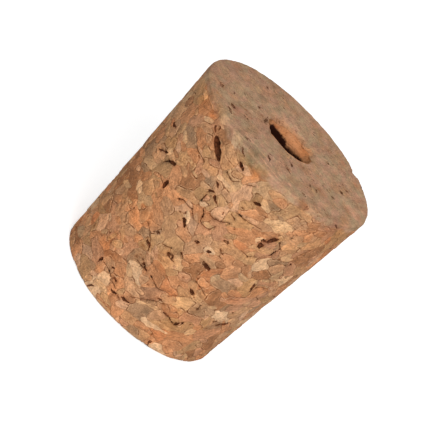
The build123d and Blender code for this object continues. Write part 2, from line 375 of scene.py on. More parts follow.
CHIPS = [
    ("grey chip left of the long slot", 189, 124, 192, 147, 12, "grey tan"),
    ("khaki chip under it", 203, 145, 206, 160, 12, "khaki"),
    ("pale wedge beside it", 197, 143, 202, 158, 6, "pink"),
    ("rosy chip", 188, 150, 196, 165, 14, "rust"),
    ("honey chip right of the long slot", 224, 140, 234, 165, 14, "honey"),
    ("tan chip left of the long slot", 204, 130, 211, 148, 9, "tan"),
    ("chip under the long slot", 208, 160, 222, 168, 9, "rose"),
    ("pale cream streak", 212, 173, 236, 190, 9, "cream"),
    ("honey chip by the boot", 170, 186, 192, 196, 16, "honey"),
    ("khaki chip below the boot", 163, 192, 172, 222, 14, "tan"),
    ("rust chip left of centre", 152, 200, 160, 228, 14, "orange"),
    ("pale strip by the tall slit", 187, 210, 188, 224, 6, "cream"),
    ("strip right of it", 196, 209, 196, 222, 8, "tan"),
    ("round chip with a dot", 210, 208, 228, 220, 19, "pink"),
    ("pale strip under the arch", 200, 205, 214, 205, 6, "cream"),
    ("rose chip in the arch", 203, 199, 213, 199, 8, "rose"),
    ("tan chip right of the arch", 222, 190, 230, 203, 8, "tan"),
    ("khaki chip", 236, 200, 252, 212, 15, "khaki"),
    ("small honey chip", 228, 172, 243, 180, 10, "honey"),
    ("orange chip at the near rim", 246, 160, 256, 180, 12, "orange"),
    ("brown chip at the near rim", 256, 172, 270, 184, 9, "brown"),
    ("thin rose chip", 240, 182, 268, 191, 6, "pink"),
    ("honey chip under the rim", 262, 190, 290, 200, 9, "honey"),
    ("grey blur", 270, 203, 283, 215, 10, "grey tan"),
    ("pale chip left of the blur", 262, 202, 268, 215, 10, "straw"),
    ("large straw chip", 264, 222, 300, 232, 13, "straw"),
    ("pale rose chip", 236, 213, 262, 228, 9, "pink"),
    ("orange rose chip", 222, 224, 250, 236, 12, "orange"),
    ("rust chip right of it", 252, 230, 264, 238, 10, "rust"),
    ("thin khaki chip", 216, 235, 240, 238, 8, "khaki"),
    ("brightest chip", 200, 246, 218, 254, 10, "cream"),
    ("wide orange chip", 170, 228, 195, 242, 18, "orange"),
    ("chip inside the crack ring", 203, 222, 214, 232, 10, "straw"),
    ("rust tan chip", 126, 205, 140, 232, 16, "orange"),
    ("small rust chip", 124, 192, 140, 198, 11, "rust"),
    ("small olive chip", 154, 192, 158, 198, 6, "olive"),
    ("honey chip left of the boot", 150, 178, 160, 190, 10, "honey"),
    ("reddish chip", 150, 170, 165, 178, 10, "orange"),
    ("honey strip", 180, 165, 187, 180, 8, "honey"),
    ("pale chip", 200, 166, 210, 178, 10, "pink"),
    ("pale olive strip", 192, 170, 198, 182, 7, "straw"),
    ("straw chip at the left", 110, 242, 126, 246, 10, "straw"),
    ("large pale chip", 130, 255, 138, 285, 13, "cream"),
    ("pinkish chip", 146, 252, 150, 270, 9, "pink"),
    ("olive chip", 135, 240, 150, 250, 9, "olive"),
    ("rust chip by the pale one", 154, 258, 165, 278, 12, "rust"),
    ("strong orange chip", 158, 282, 180, 296, 14, "deep orange"),
    ("orange chip in the middle", 176, 262, 194, 268, 12, "orange"),
    ("orange chip below it", 198, 272, 206, 292, 12, "orange"),
    ("pale green chip", 210, 274, 222, 284, 14, "grey green"),
    ("second pale green chip", 238, 272, 248, 284, 10, "grey green"),
    ("pinkish strip", 228, 280, 244, 288, 9, "pink"),
    ("rose orange strip", 224, 290, 245, 298, 9, "orange"),
    ("brown orange strip", 232, 262, 252, 268, 9, "rust"),
    ("honey chip left of the lens", 232, 250, 246, 256, 12, "honey"),
    ("large straw chip low down", 170, 300, 196, 308, 16, "straw"),
    ("pale strip low down", 135, 301, 162, 312, 9, "straw"),
    ("small pale chip low down", 120, 301, 129, 304, 6, "pink"),
    ("long pale diagonal", 136, 317, 172, 338, 7, "cream"),
    ("rust strip under it", 132, 322, 160, 340, 8, "rust"),
    ("pinkish tan chip", 180, 315, 200, 325, 14, "rose"),
    ("khaki chip low down", 150, 318, 170, 330, 9, "khaki"),
    ("small tan chip", 128, 286, 150, 298, 8, "tan"),
    ("straw chip at the foot", 94, 278, 106, 292, 10, "straw"),
    ("olive chip at the left end", 82, 232, 92, 250, 9, "khaki"),
    ("rust chip at the left end", 73, 228, 78, 250, 9, "brown"),
    ("orange chip at the left", 96, 232, 110, 246, 14, "orange"),
    ("wide orange tan chip", 105, 250, 125, 265, 14, "rust"),
    ("olive chip at the foot", 80, 255, 90, 275, 10, "khaki"),
    ("pale chip at the foot", 112, 300, 128, 308, 10, "pink"),
    ("rust strip at the foot", 92, 290, 110, 312, 7, "rust"),
    ("rose chip at the foot", 118, 318, 130, 330, 10, "rose"),
    ("rust chip at the low end", 160, 338, 185, 352, 12, "orange"),
    ("brown chip at the low end", 184, 352, 196, 356, 8, "brown"),
    ("pale chip at the low end", 174, 354, 182, 358, 6, "pink"),
    ("grey tan chip", 202, 305, 214, 318, 10, "grey tan"),
    ("long rose chip", 218, 302, 262, 300, 10, "rose"),
    ("lens shaped chip", 256, 286, 280, 284, 7, "rose"),
    ("brown chip over it", 252, 272, 262, 280, 9, "brown"),
    ("tan chip over it", 258, 262, 290, 266, 9, "grey tan"),
    ("chip in the dark outline", 245, 246, 275, 254, 9, "honey"),
    ("orange chip at the right", 300, 215, 312, 222, 10, "honey"),
    ("second orange chip", 302, 228, 316, 236, 12, "orange"),
    ("rose chip at the right rim", 318, 226, 334, 236, 9, "rose"),
    ("tan chip at the right", 285, 238, 300, 250, 10, "tan"),
    ("orange chip at the top", 196, 102, 214, 114, 16, "orange"),
    ("rust strip at the top", 204, 112, 218, 118, 9, "rust"),
    ("tan chip at the top", 196, 120, 212, 135, 12, "tan"),
    ("rust chip at the top left", 180, 140, 186, 152, 8, "rust"),
    ("pale chip at the top left", 183, 132, 187, 141, 6, "straw"),
    ("chip by the left crevice", 150, 152, 160, 165, 9, "tan"),
    ("chip right of the left crevice", 172, 150, 182, 160, 9, "brown"),
    ("grey chip on the left flank", 140, 160, 150, 172, 9, "grey tan"),
    ("orange chip on the left flank", 112, 190, 122, 205, 10, "orange"),
    ("olive chip on the left flank", 96, 200, 106, 215, 9, "olive"),
    ("pale chip on the left flank", 120, 180, 132, 188, 9, "straw"),
    ("rust chip on the left flank", 110, 212, 122, 226, 9, "rust"),
    ("small cream chip", 108, 212, 109, 222, 5, "cream"),
    ("honey chip over the centre", 214, 150, 212, 160, 7, "honey"),
    ("honey chip under the tall slit", 178, 205, 184, 226, 8, "honey"),
    ("chip left of the arch", 188, 196, 198, 204, 8, "honey"),
    ("chip over the arch", 200, 182, 210, 190, 8, "honey"),
    ("orange chip at the middle", 214, 242, 228, 246, 7, "tan"),
    ("rose chip under the patch", 250, 256, 276, 259, 6, "rose"),
    ("tan strip", 206, 256, 224, 262, 7, "orange"),
    ("chip left of the patch", 236, 238, 254, 246, 10, "orange"),
    ("chip right of the patch", 280, 232, 292, 244, 8, "honey"),
    ("low rose flank", 246, 308, 262, 304, 7, "rose"),
    ("low flank", 206, 328, 224, 326, 8, "grey tan"),
    ("low flank two", 226, 312, 244, 308, 8, "rose"),
    ("low end chip", 196, 336, 210, 344, 8, "rose"),
]

# %% [markdown]
# ## Voids, cracks and the worn rim
#
# Where chips didn't meet there are voids, and where the glue line let go there are
# cracks. A void has two ends, a width and a depth; a crack is a line through a few
# pixels with a depth. The same lists serve the side and the wide face.

# %% Voids and cracks that can be told apart
SIDE_VOIDS = [
    ("long slot", 215.5, 135, 218.5, 160.5, 6.5, 2.2),
    ("slit over the long slot", 215, 124.5, 215.5, 131.5, 2.2, 0.8),
    ("short slot", 239.5, 161, 243, 171, 4, 1.4),
    ("boot", 162, 187, 168.5, 180.5, 4.5, 1.0),
    ("tall slit", 184.5, 217, 184, 227, 3, 1.0),
    ("dot over the tall slit", 183.5, 213, 186.5, 212.5, 2.6, 0.7),
    ("left crevice", 159, 148.5, 169, 154, 2.8, 0.7),
    ("left crevice end", 167.5, 159.5, 175.5, 166, 3, 0.8),
    ("arch side", 200.5, 200, 208, 193, 2, 0.5),
    ("arch top", 208, 190.5, 214, 192, 3.2, 0.9),
    ("arch foot", 213.5, 194, 216, 204, 2.8, 0.8),
    ("leaning slit", 216, 181, 218.5, 187.5, 2.8, 0.8),
    ("right pit", 254, 202.5, 261, 206, 4.0, 0.9),
    ("patch left", 257, 246.5, 264, 245.5, 4.2, 1.0),
    ("patch right", 266, 242.5, 279, 239.5, 3.6, 0.8),
    ("patch middle", 261, 241.5, 266, 241, 3, 0.8),
    ("round pit", 194.5, 241.5, 199.5, 243.5, 3.5, 0.8),
    ("low pit", 206, 252.5, 210, 251.5, 2.6, 0.7),
    ("double pit", 203.5, 262, 209, 269.5, 4, 0.7),
    ("slit by the lens", 255, 284, 250, 292.5, 2.4, 0.7),
    ("foot slit", 121, 297, 128.5, 303.5, 2.6, 0.7),
    ("outline notch", 87, 285.5, 94, 284.5, 2.6, 0.8),
    ("left pit", 97, 261, 104, 256.5, 3, 0.8),
    ("left dot", 111, 268, 114.5, 268, 3, 0.7),
    ("left cluster", 110, 287, 115, 295, 3.2, 0.7),
    ("left cluster end", 113, 277, 117, 283, 2.4, 0.6),
    ("low crack", 173, 325, 184, 323.5, 2.2, 0.6),
    ("low crack start", 164, 312, 168, 318, 2.8, 0.6),
    ("middle slit", 147, 239, 150.5, 248, 2.7, 0.7),
    ("chevron", 154, 231.5, 160, 232.5, 2.5, 0.6),
    ("pair left", 168, 252, 173.5, 261, 4, 0.6),
    ("pair right", 180.5, 252, 182, 258.5, 2.8, 0.6),
    ("tooth", 191, 290, 194.5, 297, 3.4, 0.7),
    ("slit by the pale chip", 142.5, 260, 146, 272, 2.4, 0.6),
    ("slit under the straw chip", 156, 298, 163, 299.5, 2.2, 0.5),
    ("slit at the near rim", 304.5, 210.5, 310.5, 207.5, 1.8, 0.6),
    ("pit at the right rim", 336, 225, 338, 229, 2.4, 0.6),
    ("slit at the left rim", 242.5, 147, 244, 157, 2.2, 0.6),
    ("spot at the top left", 173, 122, 175, 127.5, 3, 0.6),
    ("dot in the round chip", 222, 213, 223.5, 214, 1.8, 0.4),
    ("dot in the khaki chip", 242, 208, 244, 209, 2.0, 0.4),
    ("low dot", 214, 322, 218, 321, 2.6, 0.5),
    ("low slit on the flank", 215, 325, 228, 324.5, 2.0, 0.5),
    ("dot over the patch", 222, 240, 230, 244, 2.4, 0.5),
    ("dots under the patch", 219, 249, 223, 255, 2.2, 0.5),
]

SIDE_CRACKS = [
    ("left of the pale wedge", 0.5, [(195, 147), (198, 153), (203, 163)]),
    ("beside the tall slit", 0.6, [(178, 199), (181, 199), (188, 208), (192, 210)]),
    ("arch", 0.5, [(200, 200), (207, 193), (211, 190.5)]),
    ("left shoulder", 0.4, [(160, 148), (168, 152)]),
    ("lower left shoulder", 0.4, [(162, 160), (169, 160), (174, 165)]),
    ("hook under the short slot", 0.5, [(226, 171), (228, 178), (232, 182), (239, 182)]),
    ("ring of the centre", 0.5, [(202, 209), (203, 215), (199, 222), (204, 228), (209, 231), (215, 227)]),
    ("under the round chip", 0.5, [(209, 214), (211, 219), (220, 223), (230, 225)]),
    ("right of the round chip", 0.5, [(231, 215), (234, 222)]),
    ("long curve to the right", 0.4, [(236, 213), (248, 224), (262, 231)]),
    ("under the thin rose chip", 0.5, [(246, 187), (251, 187), (255, 188.5)]),
    ("left of the strip", 0.4, [(191, 210), (192, 222)]),
    ("corner of the rust chip", 0.5, [(119, 208), (121, 204), (124, 200)]),
    ("middle rust line", 0.4, [(147, 222), (148, 232), (150, 248)]),
    ("right foot line", 0.4, [(161, 244), (171, 249)]),
    ("over the pale chip", 0.4, [(136, 260), (143, 270)]),
    ("foot line", 0.4, [(130, 298), (148, 301), (165, 305)]),
    ("step in the low crack", 0.5, [(164, 312), (168, 318), (173, 325), (184, 324)]),
    ("orange chip's low edge", 0.4, [(150, 276), (157, 290), (176, 298), (185, 298)]),
    ("right edge of an orange chip", 0.5, [(196, 283), (198, 285), (206, 298)]),
    ("top of the lens", 0.5, [(255, 284), (262, 281.5), (280, 281)]),
    ("foot of the lens", 0.4, [(256, 289), (268, 290), (279, 286)]),
    ("right seam", 0.4, [(293, 240), (299, 236)]),
    ("outline under the patch", 0.5, [(241, 252), (248, 258), (258, 259), (270, 258), (281, 250), (280, 243)]),
    ("rim slit line", 0.4, [(242, 148), (244, 156)]),
    ("big chip's left edge", 0.4, [(133, 207), (126, 212), (124, 222)]),
    ("honey chip's left edge", 0.4, [(159, 174), (161, 184)]),
    ("over the straw chip", 0.4, [(196, 309), (197, 312), (201, 306)]),
    ("left cluster line", 0.4, [(98, 258), (103, 262), (108, 272), (112, 284), (118, 300)]),
]

FACE_VOIDS = [
    ("slit by the near rim", 268.5, 154, 270.5, 160.5, 2.4, 0.5),
    ("slit in front of the hole", 291, 161.5, 292.5, 167.5, 2.4, 0.6),
    ("second slit", 286.5, 165, 290.5, 173.5, 1.8, 0.5),
    ("left dot", 246.5, 136, 248.5, 140, 2.2, 0.5),
    ("right dot", 254.5, 135.5, 256, 139, 2.2, 0.5),
    ("tear left of the hole", 264, 122.5, 270, 116.5, 3, 0.5),
    ("upper slit", 231, 102.5, 235, 108.5, 3.6, 0.4),
    ("far spot", 340.5, 190.5, 343, 195.5, 2.5, 0.4),
    ("rim spot", 363, 187, 364.5, 190.5, 2.5, 0.4),
    ("dark dot", 346.5, 190, 348, 192.5, 2.2, 0.4),
    ("rosy pit at the top left", 221.5, 81, 223, 87, 3.0, 0.4),
    ("dash under it", 234.5, 91, 235, 94.5, 1.6, 0.3),
    ("dash beside the upper slit", 229.5, 106, 231, 113, 2.2, 0.3),
    ("dot left of the tear", 246, 116, 248, 119, 2.2, 0.4),
    ("mark over the tear", 258, 105.5, 262, 110.5, 2.2, 0.3),
    ("first dash of the row", 310.5, 184.5, 311.5, 189, 1.8, 0.35),
    ("second dash of the row", 316, 188.5, 317, 192, 1.8, 0.35),
    ("third dash of the row", 322, 184, 324, 187, 1.8, 0.3),
    ("fourth dash of the row", 327.5, 189, 329, 192, 1.8, 0.35),
    ("fifth dash of the row", 332.5, 196, 334.5, 200, 2.0, 0.35),
    ("mark right of the hole", 317.5, 172, 322, 175.5, 1.8, 0.3),
    ("dot right of the hole", 327, 161.5, 329, 164.5, 2.0, 0.3),
    ("dash at the near rim", 303, 192.5, 305, 196, 1.8, 0.3),
    ("mark behind the hole", 274.5, 90, 277.5, 95, 2.0, 0.3),
    ("second mark behind the hole", 267, 85.5, 269, 89, 2.0, 0.3),
]

FACE_SCRATCHES = [
    ("upper scratch", [(228, 118), (235, 123), (242, 129)]),
    ("long pale crease", [(246, 134), (251, 139), (257, 146), (262, 152), (268, 159), (273, 166)]),
    ("short scratch beside it", [(240, 133), (246, 141)]),
    ("scratch towards the right", [(278, 172), (286, 181), (292, 186)]),
    ("crease at the end", [(262, 158), (268, 165), (276, 175), (284, 184)]),
]

PATCHES = [
    # name, a pixel, its surface, radius in millimetres and what its colour is multiplied by
    ("grey green patch at the near rim", 253, 150, "face", 2.1, (0.74, 0.84, 0.80)),
    ("the same below the rim", 250, 162, "side", 1.3, (0.80, 0.88, 0.84)),
    ("rosy patch left of the hole", 238, 110, "face", 1.9, (0.95, 0.82, 0.78)),
    ("rosy spot at the top left", 221, 84, "face", 1.2, (0.95, 0.80, 0.76)),
    ("pale patch at the top left", 238, 90, "face", 1.8, (1.08, 1.10, 1.10)),
    ("rusty flank at the top", 205, 100, "side", 2.6, (1.04, 0.90, 0.76)),
    ("rusty flank under it", 215, 112, "side", 1.6, (1.04, 0.90, 0.78)),
    ("orange rim", 258, 172, "side", 1.4, (0.98, 0.84, 0.66)),
    ("brown end of the near rim", 333, 226, "side", 1.8, (0.72, 0.61, 0.59)),
    ("brown mark at the near rim", 304, 206, "side", 1.3, (0.78, 0.63, 0.54)),
    ("warm streak beyond the hole", 318, 130, "face", 1.6, (1.04, 0.92, 0.84)),
    ("pale patch right of the hole", 330, 178, "face", 2.2, (1.08, 1.10, 1.10)),
    ("pale patch at the low end", 352, 212, "face", 2.4, (1.08, 1.06, 1.04)),
    ("first red mark left of the hole", 229, 107, "face", 0.45, (0.78, 0.62, 0.56)),
    ("second red mark", 235, 114, "face", 0.40, (0.76, 0.60, 0.54)),
    ("third red mark", 241, 105, "face", 0.35, (0.76, 0.60, 0.54)),
    ("fourth red mark", 247, 110, "face", 0.40, (0.80, 0.66, 0.58)),
    ("fifth red mark", 252, 118, "face", 0.45, (0.78, 0.62, 0.56)),
    ("sixth red mark", 238, 120, "face", 0.35, (0.78, 0.64, 0.58)),
    ("red mark by the tear", 262, 115, "face", 0.50, (0.78, 0.60, 0.54)),
    ("red mark in front of the hole", 290, 170, "face", 0.50, (0.82, 0.66, 0.58)),
    ("brown mark right of it", 318, 176, "face", 0.45, (0.78, 0.68, 0.58)),
    ("brown mark in the row", 319, 189, "face", 0.45, (0.78, 0.68, 0.58)),
    ("second brown mark in the row", 330, 190, "face", 0.45, (0.78, 0.68, 0.58)),
    ("third brown mark in the row", 325, 184, "face", 0.35, (0.80, 0.70, 0.60)),
    ("brown mark over the far rim", 328, 163, "face", 0.45, (0.80, 0.70, 0.58)),
    ("rust around the low pits", 165, 262, "side", 2.0, (0.96, 0.84, 0.74)),
    ("rust left of the centre", 143, 215, "side", 2.2, (1.0, 0.88, 0.78)),
    ("rust at the left", 110, 245, "side", 2.2, (1.0, 0.87, 0.76)),
    ("rust below the lens", 236, 300, "side", 1.8, (0.98, 0.88, 0.84)),
    ("brown round the blur", 277, 208, "side", 1.2, (0.80, 0.82, 0.80)),
    ("pale straw near the right", 282, 228, "side", 1.8, (1.10, 1.08, 1.04)),
    ("pale straw low down", 180, 303, "side", 2.2, (1.10, 1.08, 1.02)),
    ("dark patch under the lens pit", 268, 243, "side", 1.1, (0.74, 0.74, 0.78)),
    ("greyer right flank", 268, 303, "side", 8.0, (0.98, 1.05, 1.14)),
    ("warmer left flank", 140, 190, "side", 8.0, (1.0, 0.975, 0.93)),
    ("brown upper end of the hole", 278, 127, "hole", 0.7, (0.72, 0.58, 0.50)),
    ("chip in the hole", 286, 133, "hole", 0.8, (0.98, 0.90, 0.80)),
    ("pale ridge in the hole", 294, 137, "hole", 0.7, (1.12, 1.16, 1.22)),
    ("its lower end", 292, 147, "hole", 0.6, (1.06, 1.08, 1.12)),
    ("orange flank in the hole", 305, 149, "hole", 1.2, (0.98, 0.90, 0.80)),
    ("pink spot at the far rim", 356, 185, "face", 0.7, (1.0, 0.84, 0.76)),
    ("pink spot before it", 343, 163, "face", 0.9, (1.02, 0.88, 0.82)),
    ("rosy streak near the hole", 329, 150, "face", 1.0, (1.02, 0.90, 0.84)),
    ("olive streak beyond the hole", 338, 153, "face", 0.8, (0.86, 0.82, 0.68)),
]

# %% [markdown]
# ## Chips for the rest
#
# The back, the faces and the gaps between the named chips are filled with chips of
# the same kinds. They are dealt out one by one: a free vertex is drawn, a chip of
# random size is set there, and the vertices near it count as taken. The draw starts
# from a fixed seed, so the deal is always the same.

# %% Chip records: centre, long way, size, edge shape and tone
CHIP_THICK = 1.6
rng = np.random.default_rng(41)


def side_outward(points):
    """Outward direction of the plain cone at points of its side."""
    flat = points[..., :2] / np.hypot(points[..., 0], points[..., 1])[..., None]
    tip = math.atan(TAPER)
    return np.concatenate([flat * math.cos(tip), np.full(flat.shape[:-1] + (1,), -math.sin(tip))], axis=-1)


def frame_from(along, out):
    """Three square directions: along, across and out."""
    along = along - out * (along @ out)
    along = along / np.linalg.norm(along)
    return np.array([along, np.cross(out, along), out])


def real_width(trace, middle, direction, pixels, along):
    """Width in millimetres of a strip that shows a width in pixels."""
    step = np.array([-direction[1], direction[0]]) * pixels / 2
    gap = trace(*(middle + step)) - trace(*(middle - step))
    gap = gap - along * (gap @ along)
    return float(np.linalg.norm(gap))


def marked(row, trace, facing):
    """Centre, directions, length and width of a thing marked by two ends and a width."""
    ends = np.array(row[1:5], float).reshape(2, 2)
    a, b = trace(*ends[0]), trace(*ends[1])
    middle = ends.mean(axis=0)
    centre = trace(*middle)
    axes = frame_from(b - a, facing(centre))
    direction = (ends[1] - ends[0]) / np.linalg.norm(ends[1] - ends[0])
    return centre, axes, float(np.linalg.norm(b - a)), real_width(trace, middle, direction, row[5], axes[0])


def linear(srgb):
    """Scene-linear value of an sRGB colour given from 0 to 255."""
    c = np.asarray(srgb, float) / 255
    return np.where(c <= 0.04045, c / 12.92, ((c + 0.055) / 1.055) ** 2.4)


centres, axes_of, halves, powers, tones = [], [], [], [], []


def add_chip(centre, axes, length, width, thick, tone):
    """Note one chip. Its edge lies where its own distance is the least of all."""
    centres.append(centre)
    axes_of.append(axes)
    halves.append((length / 2, width / 2, thick))
    powers.append(rng.uniform(1.5, 2.6))
    tones.append(np.array(TONES[tone], float))


for row in CHIPS:
    centre, axes, length, width = marked(row, on_side, side_outward)
    add_chip(centre, axes, length + 0.5, width, CHIP_THICK, row[6])
named_chips = len(centres)
print("named chips:", named_chips)

# %% Deal out the other chips
DEAL = [
    # share, least and most radius in millimetres
    (0.22, 0.55, 0.90),
    (0.42, 0.90, 1.50),
    (0.36, 1.50, 2.40),
]
DEAL_TONES = [
    ("honey", 18), ("orange", 18), ("rust", 11), ("deep orange", 3), ("tan", 14), ("straw", 6), ("cream", 3),
    ("pink", 8), ("rose", 9), ("khaki", 8), ("olive", 4), ("grey tan", 5), ("grey green", 2), ("brown", 5),
]
tone_names = [name for name, share in DEAL_TONES]
tone_shares = np.array([share for name, share in DEAL_TONES], float)
tone_shares /= tone_shares.sum()

vertex_tree = KDTree(len(place))
for index, spot in enumerate(place):
    vertex_tree.insert(spot, index)
vertex_tree.balance()
taken = np.zeros(len(place), bool)
for centre, axes, half in zip(centres, axes_of, halves):
    near = np.array([hit[1] for hit in vertex_tree.find_range(centre, half[0] + half[1])])
    local = (place[near] - centre) @ axes.T / np.array(half)
    taken[near[(np.abs(local) ** 2).sum(axis=1) < 1.0]] = True

for index in rng.permutation(len(place)):
    if taken[index]:
        continue
    share, low, high = DEAL[rng.choice(len(DEAL), p=[row[0] for row in DEAL])]
    size = rng.uniform(low, high)
    out = outward[index]
    way = rng.normal(size=3)
    axes = frame_from(way, out / np.linalg.norm(out))
    centre = place[index] - out * rng.uniform(-0.3, 0.3)
    stretch = rng.uniform(1.15, 1.9)
    add_chip(centre, axes, 2 * size * stretch, 2 * size / stretch ** 0.5, CHIP_THICK, rng.choice(tone_names, p=tone_shares))
    for hit in vertex_tree.find_range(place[index], size * 1.15):
        taken[hit[1]] = True
centres = np.array(centres)
axes_of = np.array(axes_of)
halves = np.array(halves)
powers = np.array(powers)
tones = np.array(tones)
print("all chips:", len(centres))

# %% [markdown]
# ## Which chip owns which spot
#
# A spot belongs to the chip whose own distance is the least, and that distance is
# measured along and across the chip, so long chips own long patches. Only the chips
# close by are asked. Where the two ends of an edge have different owners, a seam
# crosses it, and halving the edge a few times finds the place.

# %% Ask for the owner of a spot
ASKED = 14
chip_tree = KDTree(3 * len(centres))
for index, (centre, axes, half) in enumerate(zip(centres, axes_of, halves)):
    for step in (-0.6, 0.0, 0.6):
        chip_tree.insert(centre + axes[0] * half[0] * step, index)
chip_tree.balance()


def chips_near(points):
    """The chips that may own each point."""
    return np.array([[hit[1] for hit in chip_tree.find_n(point, ASKED)] for point in points])


def owner(points, near):
    """The chip that owns each point, out of those near it."""
    owners = np.empty(len(points), int)
    warped = bent(points)
    for start in range(0, len(points), 20000):
        part = slice(start, start + 20000)
        ids = near[part]
        apart = warped[part, None, :] - centres[ids]
        local = np.abs(np.einsum("nkij,nkj->nki", axes_of[ids], apart)) / halves[ids]
        power = powers[ids]
        distance = (local ** power[..., None]).sum(axis=-1) ** (1 / power)
        owners[part] = ids[np.arange(len(ids)), distance.argmin(axis=1)]
    return owners


near = chips_near(place)
print("asked for", near.shape)

# %% [markdown]
# ## Voids and cracks first
#
# Voids and cracks have sharp edges, so the vertices closest to an outline are slid
# onto it. What is inside then goes down as one steep-walled pocket. Slid vertices
# are locked, and the seams between chips may only take the ones that are left.

# %% Lay out every void
def face_outward(points):
    """Outward direction of the wide face."""
    out = np.array([math.sin(WIDE_FACE_SLANT), 0.0, math.cos(WIDE_FACE_SLANT)])
    return np.broadcast_to(out, points.shape)


voids = []
for row in SIDE_VOIDS:
    centre, axes, length, width = marked(row, on_side, side_outward)
    voids.append((centre, axes, length + 0.15, width, row[6]))
for row in FACE_VOIDS:
    centre, axes, length, width = marked(row, on_face, face_outward)
    voids.append((centre, axes, length + 0.15, width, row[6]))

BACK_VOIDS = 46
FOOT_VOIDS = 14
FACE_DOTS = 95
SIDE_DOTS = 90
HIDDEN_BEARING = 78.0
on_wall = ~(on_top | on_foot | in_bore) & (below_face > 1.0) & (place[:, 2] > 1.0)


def scatter(where, count, lengths, flatness, depths):
    """Voids of random size and lean on the chosen vertices."""
    for index in rng.choice(np.flatnonzero(where), count, replace=False):
        out = outward[index] / np.linalg.norm(outward[index])
        length = rng.uniform(*lengths)
        axes = frame_from(rng.normal(size=3), out)
        voids.append((place[index], axes, length, length * rng.uniform(*flatness), rng.uniform(*depths)))


scatter(on_wall & (np.abs(bearing) > HIDDEN_BEARING), BACK_VOIDS, (0.9, 2.8), (0.22, 0.5), (0.5, 1.3))
scatter(on_foot, FOOT_VOIDS, (0.9, 2.2), (0.25, 0.5), (0.4, 1.0))
scatter(on_top, FACE_DOTS, (0.35, 0.8), (0.4, 0.8), (0.10, 0.25))
scatter(on_wall, SIDE_DOTS, (0.35, 0.75), (0.4, 0.9), (0.15, 0.4))



def void_distance(points, void):
    """Below zero inside a void's ragged outline, and above it outside."""
    centre, axes, length, width, deep = void
    local = (points - centre) @ axes.T
    ragged = 0.15 if deep >= 0.9 else 0.24
    local[:, 0] += ragged * lumps(points, 0.45, 31)
    local[:, 1] += ragged * lumps(points, 0.45, 32) + 0.12 * lumps(points, 1.4, 36)
    blunt = 2.6 if deep >= 0.9 else 1.9
    by = np.abs(local[:, 0] / (length / 2)) ** blunt + np.abs(local[:, 1] / (width / 2)) ** 1.6 - 1
    by += (0.10 if deep >= 0.9 else 0.42) * lumps(points, 0.5, 37)
    return np.where(np.abs(local[:, 2]) > 2.0, 3.0, by)


inside_by = np.full(len(place), 3.0)
void_depth = np.zeros(len(place))
for void in voids:
    near_by = np.array([hit[1] for hit in vertex_tree.find_range(void[0], void[2] / 2 + 1.0)], int)
    if not len(near_by):
        continue
    by = void_distance(place[near_by], void)
    better = by < inside_by[near_by]
    inside_by[near_by[better]] = by[better]
    void_depth[near_by[better]] = void[4]
print("voids:", len(voids), "vertices inside them:", int((inside_by < 0).sum()))

# %% Slide the closest vertices onto an outline
locked = np.zeros(len(place), bool)
edge_a, edge_b = pairs[:, 0], pairs[:, 1]


def slide(share, crossing):
    """Move the nearer end of each crossed edge onto the crossing, one move a vertex."""
    run = np.linalg.norm(place[edge_b] - place[edge_a], axis=1)
    index = np.flatnonzero(crossing)
    nearer_a = share[index] < 0.5
    vertex = np.where(nearer_a, edge_a[index], edge_b[index])
    away = np.where(nearer_a, share[index], 1 - share[index]) * run[index]
    target = place[edge_a[index]] + share[index, None] * (place[edge_b[index]] - place[edge_a[index]])
    order = np.argsort(-away)
    best = np.full(len(place), -1)
    best[vertex[order]] = order
    movable = (best >= 0) & ~locked
    chosen = best[movable]
    place[movable] = target[chosen]
    return movable, index[chosen]


by_a, by_b = inside_by[edge_a], inside_by[edge_b]
crossing = (by_a < 0) != (by_b < 0)
share = np.where(crossing, by_a / np.where(crossing, by_a - by_b, 1), 0)
moved, through = slide(share, crossing)
inside_by[moved] = 0.0
locked |= moved
print("slid onto void outlines:", int(moved.sum()))

# %% Slide vertices onto the cracks
CRACK_REACH = 0.20
CRACK_STEP = 0.12
crack_depth = np.zeros(len(place))


def crack_line(points, trace=on_side):
    """The crack as close-set points on a surface, following its pixels."""
    points = np.array(points, float)
    line = []
    for start, end in zip(points[:-1], points[1:]):
        for share in np.arange(0, 1, 0.2):
            line.append(trace(*(start + (end - start) * share)))
    line.append(trace(*points[-1]))
    line = np.array(line)
    close = []
    for start, end in zip(line[:-1], line[1:]):
        count = max(int(np.linalg.norm(end - start) / CRACK_STEP), 1)
        close.extend(start + (end - start) * step / count for step in range(count))
    close = np.array(close)
    return close + 0.14 * np.column_stack([lumps(close, 0.7, seed) for seed in (33, 34, 35)])


def wander(start, axes, length):
    """A crack that wanders over the surface from a start."""
    line = [start]
    way = axes[0]
    for _ in range(int(length / CRACK_STEP)):
        way = way + axes[1] * rng.normal(scale=0.25)
        way = way / np.linalg.norm(way)
        line.append(line[-1] + way * CRACK_STEP)
    return np.array(line)


cracks = [(crack_line(points), depth) for name, depth, points in SIDE_CRACKS]
BACK_CRACKS = 34
for index in rng.choice(np.flatnonzero(on_wall & (np.abs(bearing) > HIDDEN_BEARING - 10)), BACK_CRACKS, replace=False):
    axes = frame_from(rng.normal(size=3), outward[index] / np.linalg.norm(outward[index]))
    cracks.append((wander(place[index], axes, rng.uniform(1.5, 4.5)), rng.uniform(0.3, 0.6)))
for line, depth in cracks:
    line_tree = KDTree(len(line))
    for index, point in enumerate(line):
        line_tree.insert(point, index)
    line_tree.balance()
    middle = line.mean(axis=0)
    span = np.linalg.norm(line - middle, axis=1).max() + 0.5
    for _, index, _ in vertex_tree.find_range(middle, span):
        if locked[index]:
            continue
        hit, _, gap = line_tree.find(place[index])
        if gap < CRACK_REACH:
            out = outward[index]
            shift = np.array(hit) - place[index]
            place[index] += shift - out * (shift @ out)
            crack_depth[index] = depth
            locked[index] = True
print("slid onto cracks:", int((crack_depth > 0).sum()))

